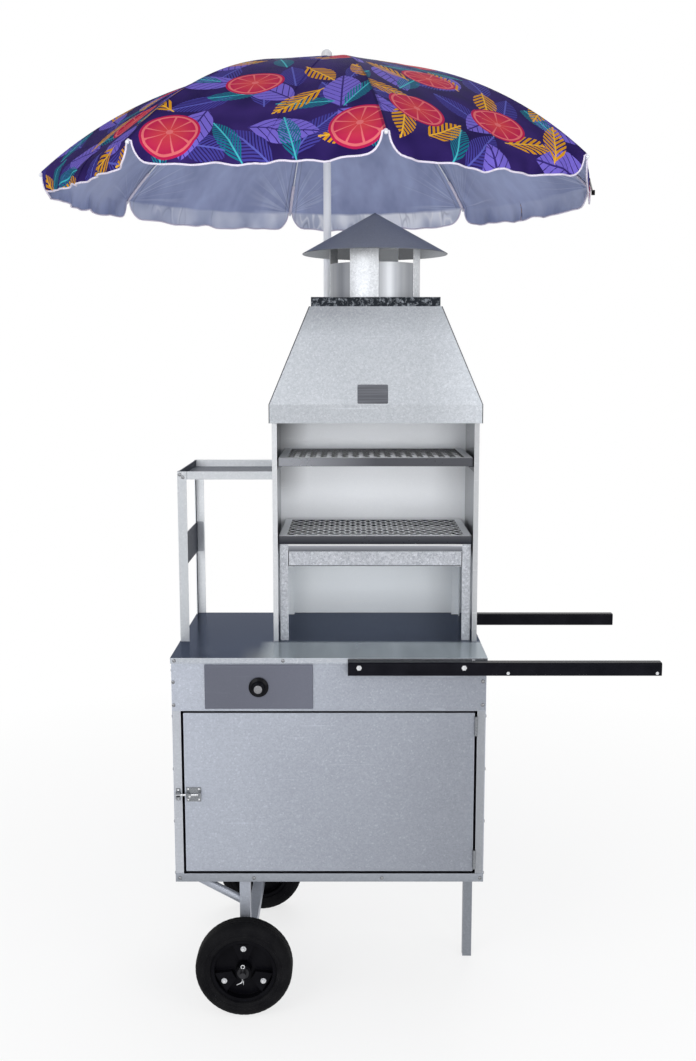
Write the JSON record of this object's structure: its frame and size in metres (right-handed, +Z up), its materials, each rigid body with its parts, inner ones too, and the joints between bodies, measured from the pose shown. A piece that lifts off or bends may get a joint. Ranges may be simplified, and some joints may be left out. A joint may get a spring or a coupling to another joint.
{
  "type": "barbecue cart",
  "caption": "Wheeled sheet-metal charcoal barbecue cart: cabinet with drawer and door, firebox with grills, hood and chimney, side shelf, push handles and a sun umbrella.",
  "frame": {"origin": "on the floor, below the middle of the whole object's box", "axes": "+Z up; the drawer and door face -Y; the push handles point to +X"},
  "size_m": [1.625, 1.562, 2.5363],
  "materials": {
    "galvanised_sheet": "dull galvanised",
    "table_sheet": "smooth",
    "grill_steel": "welded",
    "bright_steel": "zinc plated",
    "cap_sheet": "matt",
    "black_tube": "gloss",
    "black_knob": "gloss",
    "rim_plastic": "moulded",
    "tyre_rubber": "moulded",
    "canopy_cloth": "coated cloth",
    "white_plastic": "moulded",
    "pole_tube": "gloss"
  },
  "bodies": {
    "cart": {"table_top": "table_sheet", "corner_posts": "galvanised_sheet", "left_side_panel": "galvanised_sheet", "right_side_panel": "galvanised_sheet", "back_panel": "galvanised_sheet", "floor_panel": "galvanised_sheet", "front_apron": "galvanised_sheet", "drawer_runners": "galvanised_sheet", "hinge_leaves_fixed": "bright_steel", "latch_keeper": "bright_steel", "push_handles": "black_tube", "handle_bolts": "bright_steel", "prop_leg": "galvanised_sheet", "axle_frame": "galvanised_sheet", "axle": "bright_steel", "firebox_left_wall": "galvanised_sheet", "firebox_right_wall": "galvanised_sheet", "firebox_back_wall": "galvanised_sheet", "grill_rails": "galvanised_sheet", "fire_stand": "grill_steel", "hood": "galvanised_sheet", "chimney_pipe": "galvanised_sheet", "cap_straps": "galvanised_sheet", "chimney_cap": "cap_sheet", "shelf_tray": "galvanised_sheet", "shelf_frame": "galvanised_sheet", "pole_socket": "galvanised_sheet"},
    "door": {"door_panel": "galvanised_sheet", "hinge_leaves_door": "bright_steel", "latch_plate": "bright_steel"},
    "latch_bolt": {"latch_bolt": "bright_steel"},
    "drawer": {"drawer": "galvanised_sheet", "drawer_knob": "black_knob"},
    "wheel_front": {"tyre_front": "tyre_rubber", "rim_front": "rim_plastic"},
    "wheel_rear": {"tyre_rear": "tyre_rubber", "rim_rear": "rim_plastic"},
    "upper_grill": {"upper_grill": "grill_steel"},
    "lower_grill": {"lower_grill": "grill_steel"},
    "charcoal_tray": {"charcoal_tray": "grill_steel"},
    "umbrella_pole": {"umbrella_pole": "pole_tube"},
    "umbrella_head": {"umbrella_crown": "white_plastic", "umbrella_canopy": "canopy_cloth"},
    "umbrella_runner": {"umbrella_runner": "white_plastic"},
    "rib_1": {"rib_1": "bright_steel"},
    "stretcher_1": {"stretcher_1": "bright_steel"},
    "rib_2": {"rib_2": "bright_steel"},
    "stretcher_2": {"stretcher_2": "bright_steel"},
    "rib_3": {"rib_3": "bright_steel"},
    "stretcher_3": {"stretcher_3": "bright_steel"},
    "rib_4": {"rib_4": "bright_steel"},
    "stretcher_4": {"stretcher_4": "bright_steel"},
    "rib_5": {"rib_5": "bright_steel"},
    "stretcher_5": {"stretcher_5": "bright_steel"},
    "rib_6": {"rib_6": "bright_steel"},
    "stretcher_6": {"stretcher_6": "bright_steel"},
    "rib_7": {"rib_7": "bright_steel"},
    "stretcher_7": {"stretcher_7": "bright_steel"},
    "rib_8": {"rib_8": "bright_steel"},
    "stretcher_8": {"stretcher_8": "bright_steel"}
  },
  "joints": [
    {"name": "door_hinge", "type": "hinge", "parent": "cart", "child": "door", "pos_m": [0.35372, -0.5695, 0.5795], "axis": [0, 0, 1], "range_deg": [0, 165]},
    {"name": "latch_slide", "type": "slide", "parent": "door", "child": "latch_bolt", "axis": [1, 0, 0], "range_m": [0, 0.014]},
    {"name": "drawer_slide", "type": "slide", "parent": "cart", "child": "drawer", "axis": [0, -1, 0], "range_m": [0, 0.25]},
    {"name": "wheel_front_spin", "type": "hinge", "parent": "cart", "child": "wheel_front", "pos_m": [-0.23953, -0.599, 0.125], "axis": [0, 1, 0], "continuous": true},
    {"name": "wheel_rear_spin", "type": "hinge", "parent": "cart", "child": "wheel_rear", "pos_m": [-0.23953, 0.001, 0.125], "axis": [0, 1, 0], "continuous": true},
    {"name": "upper_grill_slide", "type": "slide", "parent": "cart", "child": "upper_grill", "axis": [0, -1, 0], "range_m": [0, 0.25]},
    {"name": "lower_grill_slide", "type": "slide", "parent": "cart", "child": "lower_grill", "axis": [0, -1, 0], "range_m": [0, 0.25]},
    {"name": "charcoal_tray_slide", "type": "slide", "parent": "cart", "child": "charcoal_tray", "axis": [0, -1, 0], "range_m": [0, 0.25]},
    {"name": "umbrella_lift", "type": "slide", "parent": "cart", "child": "umbrella_pole", "axis": [0, 0, 1], "range_m": [0, 0.9]},
    {"name": "umbrella_turn", "type": "hinge", "parent": "umbrella_pole", "child": "umbrella_head", "pos_m": [-0.03153, 0, 2.47825], "axis": [0, 0, 1], "continuous": true},
    {"name": "umbrella_fold", "type": "slide", "parent": "umbrella_head", "child": "umbrella_runner", "axis": [0, 0, -1], "range_m": [0, 0.196], "deforming": ["umbrella_canopy"]},
    {"name": "rib_1_fold", "type": "hinge", "parent": "umbrella_head", "child": "rib_1", "pos_m": [-0.02804, -0.01866, 2.484], "axis": [0.9829, 0.184, 0], "range_deg": [0, 28.61]},
    {"name": "stretcher_1_fold", "type": "hinge", "parent": "umbrella_runner", "child": "stretcher_1", "pos_m": [-0.02675, -0.02556, 2.315], "axis": [-0.9829, -0.184, 0], "range_deg": [0, 16.92]},
    {"name": "rib_2_fold", "type": "hinge", "parent": "umbrella_head", "child": "rib_2", "pos_m": [-0.01587, -0.01072, 2.484], "axis": [0.565, 0.8251, 0], "range_deg": [0, 28.61]},
    {"name": "stretcher_2_fold", "type": "hinge", "parent": "umbrella_runner", "child": "stretcher_2", "pos_m": [-0.01008, -0.01469, 2.315], "axis": [-0.565, -0.8251, 0], "range_deg": [0, 16.92]},
    {"name": "rib_3_fold", "type": "hinge", "parent": "umbrella_head", "child": "rib_3", "pos_m": [-0.01287, 0.00349, 2.484], "axis": [-0.184, 0.9829, 0], "range_deg": [0, 28.61]},
    {"name": "stretcher_3_fold", "type": "hinge", "parent": "umbrella_runner", "child": "stretcher_3", "pos_m": [-0.00597, 0.00478, 2.315], "axis": [0.184, -0.9829, 0], "range_deg": [0, 16.92]},
    {"name": "rib_4_fold", "type": "hinge", "parent": "umbrella_head", "child": "rib_4", "pos_m": [-0.02081, 0.01566, 2.484], "axis": [-0.8251, 0.565, 0], "range_deg": [0, 28.61]},
    {"name": "stretcher_4_fold", "type": "hinge", "parent": "umbrella_runner", "child": "stretcher_4", "pos_m": [-0.01684, 0.02145, 2.315], "axis": [0.8251, -0.565, 0], "range_deg": [0, 16.92]},
    {"name": "rib_5_fold", "type": "hinge", "parent": "umbrella_head", "child": "rib_5", "pos_m": [-0.03502, 0.01866, 2.484], "axis": [-0.9829, -0.184, 0], "range_deg": [0, 28.61]},
    {"name": "stretcher_5_fold", "type": "hinge", "parent": "umbrella_runner", "child": "stretcher_5", "pos_m": [-0.03631, 0.02556, 2.315], "axis": [0.9829, 0.184, 0], "range_deg": [0, 16.92]},
    {"name": "rib_6_fold", "type": "hinge", "parent": "umbrella_head", "child": "rib_6", "pos_m": [-0.04719, 0.01072, 2.484], "axis": [-0.565, -0.8251, 0], "range_deg": [0, 28.61]},
    {"name": "stretcher_6_fold", "type": "hinge", "parent": "umbrella_runner", "child": "stretcher_6", "pos_m": [-0.05298, 0.01469, 2.315], "axis": [0.565, 0.8251, 0], "range_deg": [0, 16.92]},
    {"name": "rib_7_fold", "type": "hinge", "parent": "umbrella_head", "child": "rib_7", "pos_m": [-0.05019, -0.00349, 2.484], "axis": [0.184, -0.9829, 0], "range_deg": [0, 28.61]},
    {"name": "stretcher_7_fold", "type": "hinge", "parent": "umbrella_runner", "child": "stretcher_7", "pos_m": [-0.05708, -0.00478, 2.315], "axis": [-0.184, 0.9829, 0], "range_deg": [0, 16.92]},
    {"name": "rib_8_fold", "type": "hinge", "parent": "umbrella_head", "child": "rib_8", "pos_m": [-0.04225, -0.01566, 2.484], "axis": [0.8251, -0.565, 0], "range_deg": [0, 28.61]},
    {"name": "stretcher_8_fold", "type": "hinge", "parent": "umbrella_runner", "child": "stretcher_8", "pos_m": [-0.04622, -0.02145, 2.315], "axis": [-0.8251, 0.565, 0], "range_deg": [0, 16.92]}
  ],
  "couplings": [
    {"joint": "rib_1_fold", "follows": "umbrella_fold", "rad_per_m": 2.4974},
    {"joint": "stretcher_1_fold", "follows": "umbrella_fold", "rad_per_m": 1.4768},
    {"joint": "rib_2_fold", "follows": "umbrella_fold", "rad_per_m": 2.4974},
    {"joint": "stretcher_2_fold", "follows": "umbrella_fold", "rad_per_m": 1.4768},
    {"joint": "rib_3_fold", "follows": "umbrella_fold", "rad_per_m": 2.4974},
    {"joint": "stretcher_3_fold", "follows": "umbrella_fold", "rad_per_m": 1.4768},
    {"joint": "rib_4_fold", "follows": "umbrella_fold", "rad_per_m": 2.4974},
    {"joint": "stretcher_4_fold", "follows": "umbrella_fold", "rad_per_m": 1.4768},
    {"joint": "rib_5_fold", "follows": "umbrella_fold", "rad_per_m": 2.4974},
    {"joint": "stretcher_5_fold", "follows": "umbrella_fold", "rad_per_m": 1.4768},
    {"joint": "rib_6_fold", "follows": "umbrella_fold", "rad_per_m": 2.4974},
    {"joint": "stretcher_6_fold", "follows": "umbrella_fold", "rad_per_m": 1.4768},
    {"joint": "rib_7_fold", "follows": "umbrella_fold", "rad_per_m": 2.4974},
    {"joint": "stretcher_7_fold", "follows": "umbrella_fold", "rad_per_m": 1.4768},
    {"joint": "rib_8_fold", "follows": "umbrella_fold", "rad_per_m": 2.4974},
    {"joint": "stretcher_8_fold", "follows": "umbrella_fold", "rad_per_m": 1.4768}
  ]
}
